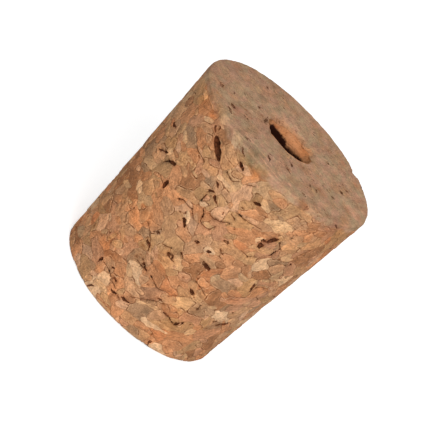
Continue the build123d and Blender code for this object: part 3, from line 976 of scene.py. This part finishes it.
# %% Slide vertices onto the seams between chips
owners = owner(place, near)
crossing = (owners[edge_a] != owners[edge_b])
index = np.flatnonzero(crossing)
low, high = np.zeros(len(index)), np.ones(len(index))
for _ in range(4):
    half_way = (low + high) / 2
    spots = place[edge_a[index]] + half_way[:, None] * (place[edge_b[index]] - place[edge_a[index]])
    same = owner(spots, near[edge_a[index]]) == owners[edge_a[index]]
    low = np.where(same, half_way, low)
    high = np.where(same, high, half_way)
share = np.zeros(len(pairs))
share[index] = (low + high) / 2
moved, through = slide(share, crossing)
on_seam = moved.copy()
seam_pair = np.zeros((len(place), 2), int)
seam_pair[moved] = np.sort(np.column_stack([owners[edge_a[through]], owners[edge_b[through]]]), axis=1)
print("seam vertices:", int(on_seam.sum()), "of", len(place))

# %% [markdown]
# ## Carving
#
# Each chip sits at its own depth and tips a little. Seams are fine grooves, some
# open and dark, most closed. Sanding has levelled the wide face, the foot and a
# narrow band at the rims. The drill tore the lip of the hole and left ridges inside.

# %% Depth of every vertex
chip_offset = rng.uniform(0.0, 0.09, len(centres)) ** 1.0
sunk = rng.random(len(centres)) < 0.05
chip_offset[sunk & (halves[:, 0] < 1.3)] += 0.18
chip_tip = rng.normal(scale=0.035, size=(len(centres), 2))


def chip_level(points, ids):
    """How deep a point of a chip lies, from the chip's own offset and tip."""
    local = np.einsum("nij,nj->ni", axes_of[ids], points - centres[ids])
    level = chip_offset[ids] + (local[:, :2] * chip_tip[ids]).sum(axis=1)
    return np.clip(level, 0.0, 0.35)


def pair_number(pair, seed):
    """One steady number from 0 to 1 for each pair of chips."""
    return cell_number(np.column_stack([pair, np.zeros(len(pair), int)]), seed)


radius = np.hypot(place[:, 0], place[:, 1])
below_face = face_height(place[:, 0]) - place[:, 2]
band_wave = 0.45 * lumps(place, 3.0, 51) + 0.25 * lumps(place, 0.9, 52)
sanded = np.clip(1.5 + band_wave - below_face, 0, 0.5) / 0.5
foot_sanded = np.clip(0.45 + 0.5 * band_wave - place[:, 2], 0, 0.4) / 0.4
sanded = np.where(in_bore, 0.0, np.maximum(sanded, foot_sanded))

openness = pair_number(seam_pair, 61)
dashes = 0.5 + 0.5 * lumps(place, 0.6, 62)
kind = np.where(openness > 0.72, 1.0, np.where(openness > 0.40, 0.6, 0.2))
seam_open = np.where(on_seam, np.clip(kind * (0.15 + 1.3 * dashes), 0, 1), 0.0)

level = chip_level(place, owners)
both = np.maximum(chip_level(place, seam_pair[:, 0]), chip_level(place, seam_pair[:, 1]))
level = np.where(on_seam, both + 0.02 + 0.12 * seam_open, level)
level *= 1 - 0.75 * sanded
level = np.where(in_bore, 0.2 * level, level)
wobble = np.where(in_bore, 0.0, 0.05 * (1 + lumps(place, 5.0, 71)))
rim_wear = np.clip(1 - np.abs(below_face) / 1.4, 0, 1) * np.clip(1 - (WIDE_R - radius) / 1.2, 0, 1)
wobble += rim_wear * (0.07 * (1 + lumps(place, 0.8, 72)) + 0.04 * (1 + lumps(place, 0.45, 73)))
pocket = void_depth * np.clip(-inside_by * 3.0, 0, 1) ** 0.7
pocket = np.where(inside_by < 0, np.maximum(pocket, 0.35 * void_depth), 0.0)
depth = wobble + level + pocket + crack_depth
print("deepest", round(float(depth.max()), 2), "mm")

# %% Tear the near lip of the hole and wear the far one
TEAR_DEEP = 1.6
TEAR = [
    # bearing in degrees and how far the lip is torn back, in millimetres
    (-180, 0.9), (-150, 0.8), (-125, 0.5), (-100, 0.25), (-60, 0.2), (-35, 0.55), (-10, 0.3),
    (15, 0.3), (35, 0.08), (60, 0.0), (90, 0.0), (120, 0.4), (150, 0.9), (180, 0.9),
]
WEAR_DEEP = 0.9
WEAR_WIDE = 3.0
tear_bearing = [b for b, t in TEAR]
tear_reach = [t for b, t in TEAR]
torn = np.interp(bearing, tear_bearing, tear_reach) * (1 + 0.45 * lumps(place, 0.9, 81))
torn = np.clip(torn, 0.02, None)
beyond = np.clip(radius - BORE_R, 0, None)
fade = np.where(in_bore, np.clip(1 - below_face / TEAR_DEEP, 0, 1), 0.0)
fade = np.where(on_top, np.exp(-beyond / (1.5 * torn + 0.3)), fade)
push = torn * fade
worn = np.clip((np.abs(bearing) - 95) / 40, 0, 1) * (1 + 0.3 * lumps(place, 1.6, 83))
sink = np.where(on_top, np.clip(1 - beyond / WEAR_WIDE, 0, 1) ** 2, 0.0)
sink = WEAR_DEEP * worn * np.where(in_bore, np.clip(1 - below_face / 2.0, 0, 1), sink)
ridges = np.where(in_bore, 0.05 * (1 + lumps(place * np.array([1, 1, 0.3]), 0.7, 82)), 0.0)
ridges += np.where(in_bore, 0.10 * (1 + lumps(place, 1.3, 85)), 0.0)
lip_drop = np.where(on_top, 0.2 * torn * np.exp(-beyond / 0.5), 0.0)
depth += ridges + lip_drop

# %% Paint the shadow deep in the hole, where the near lip keeps the light out
SHADOW_LINE_DEPTHS = [
    # bearing in degrees and the depth in the hole from which its wall is painted dark as shadow, in millimetres
    (-180, 2.4), (-164, 2.0), (-146, 1.5), (-126, 0.9), (-100, 0.8), (0, 1.5), (100, 2.0), (138, 1.85),
    (150, 2.05), (160, 2.3), (180, 2.4),
]
shadow_line_depth = np.interp(bearing, [b for b, d in SHADOW_LINE_DEPTHS], [d for b, d in SHADOW_LINE_DEPTHS])
shadow_line_depth += 0.26 * lumps(place * np.array([1, 1, 0]), 0.9, 84)
# painted shadow: below the shadow line the wall of the hole is painted dark
painted_hole_shadow = np.where(in_bore, np.clip((below_face - shadow_line_depth) / 0.3, 0, 1), 0.0)
bared = np.where(on_top, worn * np.clip(1.5 - beyond / 1.1, 0, 1), 0.0)
sanded = sanded * (1 - 0.8 * np.clip(bared, 0, 1))

# %% Scratches, patches of tint and a painted highlight on the near lip of the hole
SCRATCH_REACH = 0.35
scratch = np.zeros(len(place))
for name, points in FACE_SCRATCHES:
    for spot in crack_line(points, on_face):
        for _, index, gap in vertex_tree.find_range(spot, SCRATCH_REACH):
            scratch[index] = max(scratch[index], 1 - gap / SCRATCH_REACH)
scratch *= 0.6 + 0.4 * lumps(place, 0.8, 98)

TRACES = {"side": (on_side, ~in_bore), "face": (on_face, ~in_bore), "hole": (in_hole, in_bore)}
tint = np.ones((len(place), 3))
for name, px, py, surface, reach, factor in PATCHES:
    trace, where = TRACES[surface]
    gap = np.linalg.norm(place - trace(px, py), axis=1) / reach
    strength = np.clip(1.3 - gap + 0.35 * lumps(place, 0.9, 97), 0, 1) * where
    tint *= 1 + (np.array(factor) - 1) * strength[:, None]
# painted highlight: the near lip of the hole is lightened as if it caught the light
lip_highlight = np.where(on_top & (np.abs(bearing) < 70), np.clip(1 - beyond / 0.6, 0, 1), 0.0)
pale = 0.75 * np.clip(scratch, 0, 1) + 0.3 * lip_highlight
edge_band = np.clip(1 - np.abs(below_face - 0.2) / 0.7, 0, 1) * np.clip(1 - (WIDE_R - radius) / 0.8, 0, 1)
pale -= 0.16 * edge_band * (0.6 + 0.7 * lumps(place, 1.1, 99))
tint *= 1 + pale[:, None]
depth += 0.08 * np.clip(scratch, 0, 1)
print("scratched vertices:", int((scratch > 0).sum()))

# %% Bite chips out of the wide rim
RIM_CHIPS = [
    # name, bearing in degrees, then half length, height and bite in millimetres
    ("chip in the far rim", 138.5, 1.0, 1.4, 1.5),
    ("its shallow end", 142.5, 1.6, 0.9, 0.9),
    ("nick beside it", 131, 0.5, 0.6, 0.3),
    ("nick at the right", 96, 0.6, 0.5, 0.3),
    ("nick in the near rim", 22, 0.7, 0.6, 0.25),
    ("nick at the left", -64, 0.8, 0.6, 0.3),
    ("nick at the back", -168, 0.9, 0.9, 0.45),
]
nip = np.zeros(len(place))
for name, at, half_length, height, bite in RIM_CHIPS:
    along = np.radians((bearing - at + 180) % 360 - 180) * WIDE_R
    back = radius_at(HEIGHT) - radius
    reach = np.sqrt((along / half_length) ** 2 + (below_face / height) ** 2 + (back / bite) ** 2)
    nip = np.maximum(nip, bite * np.clip(1 - reach, 0, 1) ** 0.6)
print("deepest bite in the rim", round(float(nip.max()), 2), "mm")

# %% [markdown]
# ## The finished skin
#
# Quads are halved along the seam where a seam runs across them, so no colour ever
# bleeds over it. The arrays then become the final mesh, with the tone of its chip on
# every face, shaded across each chip as painted facet shade, and a few masks for the
# finish to read. The mask of the voids is set on whole triangles, which keeps their
# outlines crisp.

# %% Halve the quads and write the mesh
marked_vertex = locked | on_seam
one = marked_vertex[quads[:, 0]] & marked_vertex[quads[:, 2]]
two = marked_vertex[quads[:, 1]] & marked_vertex[quads[:, 3]]
diagonal_a = np.linalg.norm(place[quads[:, 0]] - place[quads[:, 2]], axis=1)
diagonal_b = np.linalg.norm(place[quads[:, 1]] - place[quads[:, 3]], axis=1)
first = np.where(one == two, diagonal_a <= diagonal_b, one)
triangles = np.concatenate([
    np.where(first[:, None], quads[:, [0, 1, 2]], quads[:, [0, 1, 3]]),
    np.where(first[:, None], quads[:, [0, 2, 3]], quads[:, [1, 2, 3]]),
])
middles = place[triangles].mean(axis=1)
tri_owner = owner(middles, near[triangles[:, 0]])
tri_void = np.zeros(len(triangles))
for void in voids:
    close_by = np.flatnonzero((np.abs(middles - void[0]) < void[2] / 2 + 0.6).all(axis=1))
    by = void_distance(middles[close_by], void)
    # deeper voids get a stronger dark mask: the pit's brown and painted shade in it
    tri_void[close_by[by < 0]] = min(0.42 + 0.45 * void[4], 1.0)

carved = place - outward / np.linalg.norm(outward, axis=1)[:, None] * depth[:, None]
way = place[:, :2] / radius[:, None]
carved[:, :2] += way * (push - 0.8 * nip)[:, None]
carved[:, 2] -= sink + 0.5 * nip

skin = bpy.data.meshes.new("cork")
skin.vertices.add(len(carved))
skin.vertices.foreach_set("co", (carved * MM).ravel())
skin.loops.add(triangles.size)
skin.loops.foreach_set("vertex_index", triangles.ravel())
skin.polygons.add(len(triangles))
skin.polygons.foreach_set("loop_start", np.arange(0, triangles.size, 3))
skin.polygons.foreach_set("use_smooth", np.ones(len(triangles), bool))
skin.update(calc_edges=True)
skin.validate()
cork.data = skin

corner_owner = np.repeat(tri_owner, 3)
corner_place = place[triangles.ravel()]
local = np.einsum("nij,nj->ni", axes_of[corner_owner], corner_place - centres[corner_owner])
mottle = 0.05 * lumps(place, 1.1, 91) + 0.06 * lumps(place, 0.5, 92) + 0.04 * lumps(place, 5.0, 93)
warmth = 0.045 * lumps(place, 4.0, 94) + 0.03 * lumps(place, 1.3, 95)
facet_shade_slant = rng.normal(scale=0.05, size=(len(centres), 2))
brightness_and_facet_shade = 1 + 0.03 * rng.normal(size=len(centres))[corner_owner] + mottle[triangles.ravel()]
halo = np.clip(1 - inside_by / 1.5, 0, 1) * (0.6 + 0.4 * lumps(place, 0.6, 96)) * ~(on_top | in_bore)
# painted facet shade: each chip is painted lighter towards one side and darker towards the other, as if tipped to the
# light
brightness_and_facet_shade += (np.clip(local[:, :2] / halves[corner_owner, :2], -1, 1) * facet_shade_slant[corner_owner]).sum(axis=1)
drift = np.array([0.3, -0.3, -1.0]) * warmth[triangles.ravel()][:, None]
drift -= np.array([0.10, 0.17, 0.22]) * halo[triangles.ravel()][:, None]
tone_rows = linear(tones[corner_owner] * (brightness_and_facet_shade[:, None] + drift))
tone = skin.color_attributes.new("chip_tone_and_facet_shade", "FLOAT_COLOR", "CORNER")
tone.data.foreach_set("color", np.column_stack([np.clip(tone_rows, 0, 1), np.ones(len(tone_rows))]).ravel())
local += corner_owner[:, None] * np.array([1.7, 3.1, 5.3])
grain = skin.attributes.new("chip_grain", "FLOAT_VECTOR", "CORNER")
grain.data.foreach_set("vector", local.ravel())
tint_layer = skin.color_attributes.new("tint", "FLOAT_COLOR", "POINT")
tint_layer.data.foreach_set("color", np.column_stack([tint, np.ones(len(tint))]).ravel())
void_mask = skin.attributes.new("void_dark", "FLOAT", "CORNER")
void_mask.data.foreach_set("value", np.repeat(tri_void, 3))
vertex_masks = {
    "seam_near": on_seam, "seam_open": seam_open, "crack": crack_depth > 0, "sanded": sanded,
    "in_bore": in_bore, "painted_hole_shadow": painted_hole_shadow, "wide_face": on_top,
}
for name, values in vertex_masks.items():
    layer = skin.attributes.new(name, "FLOAT", "POINT")
    layer.data.foreach_set("value", np.asarray(values, np.float32))
print("skin:", len(skin.vertices), "vertices,", len(skin.polygons), "triangles")

# %% [markdown]
# ## The finish: groups that any cork surface can share
#
# Three effects make cork read as cork at close range: fine grain that follows each
# chip, small dark pores, and the greyed look of a sanded end. Each is a node group
# with named inputs and outputs, so its strength can be set where it is used.

# %% Helpers for node groups
def new_group(name, inputs, outputs):
    """An empty shader node group with named sockets. Inputs are (name, kind, value)."""
    group = bpy.data.node_groups.new(name, "ShaderNodeTree")
    for socket, kind, value in inputs:
        made = group.interface.new_socket(name=socket, in_out="INPUT", socket_type=kind)
        if value is not None:
            made.default_value = value
    for socket, kind in outputs:
        group.interface.new_socket(name=socket, in_out="OUTPUT", socket_type=kind)
    return group, group.nodes.new("NodeGroupInput"), group.nodes.new("NodeGroupOutput")


def math_node(tree, operation, a, b, clamp=False):
    """One Math node; a and b are sockets or numbers."""
    node = tree.nodes.new("ShaderNodeMath")
    node.operation = operation
    node.use_clamp = clamp
    for socket, value in zip(node.inputs, (a, b)):
        if hasattr(value, "links"):
            tree.links.new(value, socket)
        else:
            socket.default_value = value
    return node.outputs[0]


def mix_colour(tree, blend, factor, a, b):
    """One colour Mix node; factor, a and b are sockets or values."""
    node = tree.nodes.new("ShaderNodeMix")
    node.data_type = "RGBA"
    node.blend_type = blend
    for socket, value in ((node.inputs[0], factor), (node.inputs[6], a), (node.inputs[7], b)):
        if hasattr(value, "links"):
            tree.links.new(value, socket)
        else:
            socket.default_value = value
    return node.outputs[2]


def noise_node(tree, vector, scale, detail=2.0, roughness=0.5):
    """One Noise node on the given coordinates."""
    node = tree.nodes.new("ShaderNodeTexNoise")
    tree.links.new(vector, node.inputs["Vector"])
    node.inputs["Scale"].default_value = scale
    node.inputs["Detail"].default_value = detail
    node.inputs["Roughness"].default_value = roughness
    return node.outputs["Fac"]


def spread(tree, value, low, high, new_low=0.0, new_high=1.0):
    """Map a range smoothly onto another."""
    node = tree.nodes.new("ShaderNodeMapRange")
    node.interpolation_type = "SMOOTHSTEP"
    tree.links.new(value, node.inputs["Value"])
    for socket, number in zip(node.inputs[1:5], (low, high, new_low, new_high)):
        socket.default_value = number
    return node.outputs["Result"]


# %% Chip grain: faint growth lines along each chip and a soft mottle
def chip_grain_group():
    """Factor round 1 that shades a chip, with streaks along its own long way."""
    group, given, made = new_group(
        "chip grain",
        [("Chip Place", "NodeSocketVector", None), ("Object Place", "NodeSocketVector", None),
         ("Streaks", "NodeSocketFloat", 0.12), ("Mottle", "NodeSocketFloat", 0.12)],
        [("Shade", "NodeSocketFloat"), ("Height", "NodeSocketFloat")],
    )
    stretch = group.nodes.new("ShaderNodeMapping")
    stretch.inputs["Scale"].default_value = (0.45, 2.6, 1.0)
    group.links.new(given.outputs["Chip Place"], stretch.inputs["Vector"])
    streak = spread(group, noise_node(group, stretch.outputs[0], 1.3, 3.0), 0.25, 0.75, -1.0, 1.0)
    mottle = spread(group, noise_node(group, given.outputs["Object Place"], 1100.0, 3.0, 0.6), 0.25, 0.75, -1.0, 1.0)
    fine = spread(group, noise_node(group, given.outputs["Object Place"], 3300.0, 2.0, 0.6), 0.25, 0.75, -1.0, 1.0)
    a = math_node(group, "MULTIPLY", streak, given.outputs["Streaks"])
    b = math_node(group, "MULTIPLY", mottle, given.outputs["Mottle"])
    c = math_node(group, "MULTIPLY", fine, given.outputs["Mottle"])
    total = math_node(group, "ADD", math_node(group, "ADD", a, b), math_node(group, "MULTIPLY", c, 0.8))
    group.links.new(math_node(group, "ADD", total, 1.0), made.inputs["Shade"])
    height = math_node(group, "ADD", math_node(group, "MULTIPLY", mottle, 0.5), fine)
    group.links.new(height, made.inputs["Height"])
    return group


# %% Pores: small red-brown flecks
def pores_group():
    """Mask of small dark pores, from 0 to 1."""
    group, given, made = new_group(
        "pores",
        [("Object Place", "NodeSocketVector", None), ("Chip Place", "NodeSocketVector", None),
         ("Size", "NodeSocketFloat", 1600.0), ("Amount", "NodeSocketFloat", 0.5)],
        [("Mask", "NodeSocketFloat")],
    )
    flat = group.nodes.new("ShaderNodeMapping")
    flat.inputs["Scale"].default_value = (0.9, 2.0, 1.4)
    group.links.new(given.outputs["Chip Place"], flat.inputs["Vector"])
    small = noise_node(group, flat.outputs[0], 2.4, 2.0, 0.7)
    patch = noise_node(group, given.outputs["Object Place"], 260.0, 2.0)
    both = math_node(group, "ADD", small, math_node(group, "MULTIPLY", math_node(group, "SUBTRACT", patch, 0.5), 0.5))
    mask = spread(group, both, 0.62, 0.72)
    group.links.new(math_node(group, "MULTIPLY", mask, given.outputs["Amount"]), made.inputs["Mask"])
    return group


# %% Sanding: greyed and evened, with painted light that makes it a little lighter towards one side
PAINTED_LIGHT_RISE = 4.0


def sanding_group():
    """Colour of a sanded surface, out of the colour beneath."""
    group, given, made = new_group(
        "sanding",
        [("Color", "NodeSocketColor", None), ("Object Place", "NodeSocketVector", None),
         ("Dust", "NodeSocketColor", (0.4, 0.24, 0.15, 1.0)), ("Warm Dust", "NodeSocketColor", (0.4, 0.22, 0.14, 1.0)),
         ("Cover", "NodeSocketFloat", 0.75),
         ("Level", "NodeSocketFloat", 1.0)],
        [("Color", "NodeSocketColor"), ("Height", "NodeSocketFloat")],
    )
    drag = group.nodes.new("ShaderNodeMapping")
    drag.inputs["Scale"].default_value = (1.0, 0.5, 1.0)
    group.links.new(given.outputs["Object Place"], drag.inputs["Vector"])
    dragged = drag.outputs[0]
    cloud = spread(group, noise_node(group, dragged, 420.0, 3.0, 0.6), 0.3, 0.7, -0.35, 0.35)
    fine = spread(group, noise_node(group, dragged, 2800.0, 3.0, 0.65), 0.25, 0.75, -1.0, 1.0)
    cover = math_node(group, "ADD", given.outputs["Cover"], cloud, clamp=True)
    hue = spread(group, noise_node(group, dragged, 620.0, 3.0, 0.6), 0.38, 0.62)
    dust = mix_colour(group, "MIX", hue, given.outputs["Dust"], given.outputs["Warm Dust"])
    dusty = mix_colour(group, "MIX", cover, given.outputs["Color"], dust)
    coarse = spread(group, noise_node(group, dragged, 800.0, 2.0, 0.6), 0.25, 0.75, -1.0, 1.0)
    across = group.nodes.new("ShaderNodeSeparateXYZ")
    group.links.new(given.outputs["Object Place"], across.inputs[0])
    shade = math_node(group, "ADD", math_node(group, "MULTIPLY", fine, 0.12), given.outputs["Level"])
    shade = math_node(group, "ADD", shade, math_node(group, "MULTIPLY", coarse, 0.15))
    # painted light: the sanded colour grows lighter towards +X
    shade = math_node(group, "ADD", shade, math_node(group, "MULTIPLY", across.outputs["X"], PAINTED_LIGHT_RISE))
    grey = group.nodes.new("ShaderNodeCombineColor")
    for socket in grey.inputs:
        group.links.new(shade, socket)
    group.links.new(mix_colour(group, "MULTIPLY", 1.0, dusty, grey.outputs[0]), made.inputs["Color"])
    group.links.new(fine, made.inputs["Height"])
    return group


CHIP_GRAIN = chip_grain_group()
PORES = pores_group()
SANDING = sanding_group()

# %% [markdown]
# ## The cork itself
#
# The material reads the tone of each chip from the mesh, shades it with grain and
# pores, darkens the open seams and paints a highlight beside them, browns the voids
# with painted shade, paints the shadow deep in the hole, and greys what was sanded.
# Cork is dull, so the roughness stays high everywhere.

# %% Cork material
def set_group(tree, group, values):
    """Place a group and link or set its inputs by name."""
    node = tree.nodes.new("ShaderNodeGroup")
    node.node_tree = group
    for name, value in values.items():
        if hasattr(value, "links"):
            tree.links.new(value, node.inputs[name])
        else:
            node.inputs[name].default_value = value
    return node


def attribute(tree, name, output):
    """One attribute of the mesh, as a colour, a vector or a factor."""
    node = tree.nodes.new("ShaderNodeAttribute")
    node.attribute_name = name
    return node.outputs[output]


def rgba(srgb):
    """An sRGB colour from 0 to 255 as a linear colour with alpha."""
    return tuple(float(c) for c in linear(srgb)) + (1.0,)


SEAM_BROWN = (92, 46, 20)
# brown of the voids, with painted shade in them
VOID_BROWN_AND_SHADE = (56, 20, 4)
VOID_FLOOR = (104, 56, 32)
PIT_BROWN = (98, 60, 40)
# colour of the painted shadow deep in the hole
HOLE_SHADOW_BROWN = (38, 13, 4)
# colour of the painted highlight beside open seams
SEAM_HIGHLIGHT_CREAM = (222, 176, 134)
PORE_BROWN = (116, 62, 32)
DUST = (184, 153, 119)
WARM_DUST = (196, 150, 121)
# orange of the hole's wall, brightened as painted light
BORE_ORANGE_AND_LIGHT = (200, 134, 88)

cork_finish = bpy.data.materials.new("cork")
cork_finish.use_nodes = True
tree = cork_finish.node_tree
shader = tree.nodes["Principled BSDF"]
shader.inputs["Roughness"].default_value = 0.82
shader.inputs["Specular IOR Level"].default_value = 0.08
object_place = tree.nodes.new("ShaderNodeTexCoord").outputs["Object"]
chip_place = attribute(tree, "chip_grain", "Vector")
seam_near = attribute(tree, "seam_near", "Fac")
seam_open = attribute(tree, "seam_open", "Fac")
sand = attribute(tree, "sanded", "Fac")

grain_node = set_group(tree, CHIP_GRAIN, {
    "Chip Place": chip_place, "Object Place": object_place, "Streaks": 0.14, "Mottle": 0.19,
})
shade = tree.nodes.new("ShaderNodeCombineColor")
for socket in shade.inputs:
    tree.links.new(grain_node.outputs["Shade"], socket)
colour = mix_colour(tree, "MULTIPLY", 1.0, attribute(tree, "chip_tone_and_facet_shade", "Color"), shade.outputs[0])
# the wall of the hole takes its orange, raised as painted light to make up for the light the hole lacks
colour = mix_colour(tree, "MIX", math_node(tree, "MULTIPLY", attribute(tree, "in_bore", "Fac"), 0.6), colour, rgba(BORE_ORANGE_AND_LIGHT))
# painted shade: the same sanded dust is set darker on the side band (0.8) than on the wide face (1.0)
dust_level_with_side_shade = math_node(tree, "ADD", math_node(tree, "MULTIPLY", attribute(tree, "wide_face", "Fac"), 0.20), 0.80)
sanding = set_group(tree, SANDING, {
    "Color": colour, "Object Place": object_place, "Dust": rgba(DUST), "Warm Dust": rgba(WARM_DUST),
    "Cover": 0.76, "Level": dust_level_with_side_shade,
})
colour = mix_colour(tree, "MIX", sand, colour, sanding.outputs["Color"])
colour = mix_colour(tree, "MULTIPLY", 1.0, colour, attribute(tree, "tint", "Color"))
pores = set_group(tree, PORES, {"Object Place": object_place, "Chip Place": chip_place, "Amount": 0.55})
colour = mix_colour(tree, "MIX", pores.outputs["Mask"], colour, rgba(PORE_BROWN))

openness = math_node(tree, "DIVIDE", seam_open, math_node(tree, "MAXIMUM", seam_near, 0.02), clamp=True)
openness = math_node(tree, "MULTIPLY", openness, math_node(tree, "SUBTRACT", 1.0, math_node(tree, "MULTIPLY", sand, 0.6)))
breaks = noise_node(tree, object_place, 1500.0, 2.0, 0.6)
openness = math_node(tree, "MULTIPLY", openness, spread(tree, breaks, 0.36, 0.62, 0.15, 1.0))
seam_line = math_node(tree, "MULTIPLY", spread(tree, seam_near, 0.50, 0.95), openness)
# painted highlight: a pale cream line beside each open seam, as on a lit chip edge
beside = math_node(tree, "MULTIPLY", spread(tree, seam_near, 0.05, 0.35), spread(tree, seam_near, 0.40, 0.65, 1.0, 0.0))
beside = math_node(tree, "MULTIPLY", math_node(tree, "MULTIPLY", beside, openness), 0.65)
colour = mix_colour(tree, "MIX", beside, colour, rgba(SEAM_HIGHLIGHT_CREAM))
colour = mix_colour(tree, "MIX", math_node(tree, "MULTIPLY", seam_line, 0.9), colour, rgba(SEAM_BROWN))
crack_line_mask = spread(tree, attribute(tree, "crack", "Fac"), 0.55, 0.95)
colour = mix_colour(tree, "MIX", math_node(tree, "MULTIPLY", crack_line_mask, 0.75), colour, rgba(SEAM_BROWN))
# the voids are painted near-black brown: the pit's own brown, and painted shade inside it
void = math_node(tree, "ADD", attribute(tree, "void_dark", "Fac"), math_node(tree, "SUBTRACT", breaks, 0.5))
void = spread(tree, void, 0.42, 0.68)
floor_shows = spread(tree, noise_node(tree, object_place, 1900.0, 2.0, 0.6), 0.40, 0.62, 0.0, 0.85)
void_colour = mix_colour(tree, "MIX", floor_shows, rgba(VOID_BROWN_AND_SHADE), rgba(VOID_FLOOR))
void_colour = mix_colour(tree, "MIX", math_node(tree, "MULTIPLY", sand, 0.85), void_colour, rgba(PIT_BROWN))
colour = mix_colour(tree, "MIX", math_node(tree, "MULTIPLY", void, 0.93), colour, void_colour)
# painted shadow: the deep wall of the hole is painted near-black brown
colour = mix_colour(tree, "MIX", attribute(tree, "painted_hole_shadow", "Fac"), colour, rgba(HOLE_SHADOW_BROWN))
tree.links.new(colour, shader.inputs["Base Color"])
bump = tree.nodes.new("ShaderNodeBump")
bump.inputs["Strength"].default_value = 0.6
bump.inputs["Distance"].default_value = 0.00014
tree.links.new(grain_node.outputs["Height"], bump.inputs["Height"])
tree.links.new(bump.outputs["Normal"], shader.inputs["Normal"])
cork.data.materials.append(cork_finish)

# %% [markdown]
# ## Floor and light
#
# The picture has a plain white ground and soft light from the camera's side, low
# over the wide face. The floor is white paper: it glows a little to the camera so
# that it reads as white, and still takes the stopper's shadow.

# %% Floor
bpy.ops.object.select_all(action="DESELECT")
bpy.ops.mesh.primitive_plane_add(size=6.0, location=(0, 0, 0))
floor = bpy.context.object
floor.name = "floor"
paper = bpy.data.materials.new("white paper")
paper.use_nodes = True
paper_tree = paper.node_tree
paper_shader = paper_tree.nodes["Principled BSDF"]
paper_shader.inputs["Base Color"].default_value = (0.86, 0.86, 0.86, 1.0)
paper_shader.inputs["Roughness"].default_value = 0.9
paper_shader.inputs["Emission Color"].default_value = (1.0, 1.0, 1.0, 1.0)
seen = paper_tree.nodes.new("ShaderNodeLightPath").outputs["Is Camera Ray"]
paper_tree.links.new(math_node(paper_tree, "MULTIPLY", seen, 0.5), paper_shader.inputs["Emission Strength"])
floor.data.materials.append(paper)

# %% World and lamps
KEY_BEARING = math.radians(12)
KEY_ELEVATION = math.radians(26)
KEY_AWAY = 1.2
KEY_SIZE = 0.7
KEY_POWER = 12.0

world = bpy.data.worlds.new("studio")
bpy.context.scene.world = world
world.use_nodes = True
ground = world.node_tree
background = ground.nodes["Background"]
background.inputs["Color"].default_value = (1.0, 1.0, 1.0, 1.0)
rays = ground.nodes.new("ShaderNodeLightPath")
plain = math_node(ground, "MAXIMUM", rays.outputs["Is Camera Ray"], rays.outputs["Is Glossy Ray"])
plain = math_node(ground, "MAXIMUM", plain, rays.outputs["Is Transmission Ray"])
level_of_sky = math_node(ground, "ADD", math_node(ground, "MULTIPLY", plain, 0.53), 0.47)
ground.links.new(level_of_sky, background.inputs["Strength"])

lamp_data = bpy.data.lights.new("key", "AREA")
lamp_data.shape = "DISK"
lamp_data.size = KEY_SIZE
lamp_data.energy = KEY_POWER
lamp = bpy.data.objects.new("key", lamp_data)
bpy.context.collection.objects.link(lamp)
toward = Vector((
    math.sin(KEY_BEARING) * math.cos(KEY_ELEVATION),
    -math.cos(KEY_BEARING) * math.cos(KEY_ELEVATION),
    math.sin(KEY_ELEVATION),
))
lamp.location = toward * KEY_AWAY + Vector((0, 0, HEIGHT / 2 * MM))
lamp.rotation_euler = toward.to_track_quat("Z", "Y").to_euler()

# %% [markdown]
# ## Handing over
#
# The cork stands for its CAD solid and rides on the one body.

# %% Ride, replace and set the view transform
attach(cork, "root")
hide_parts(NODE)
scene = bpy.context.scene
scene.view_settings.view_transform = "Standard"
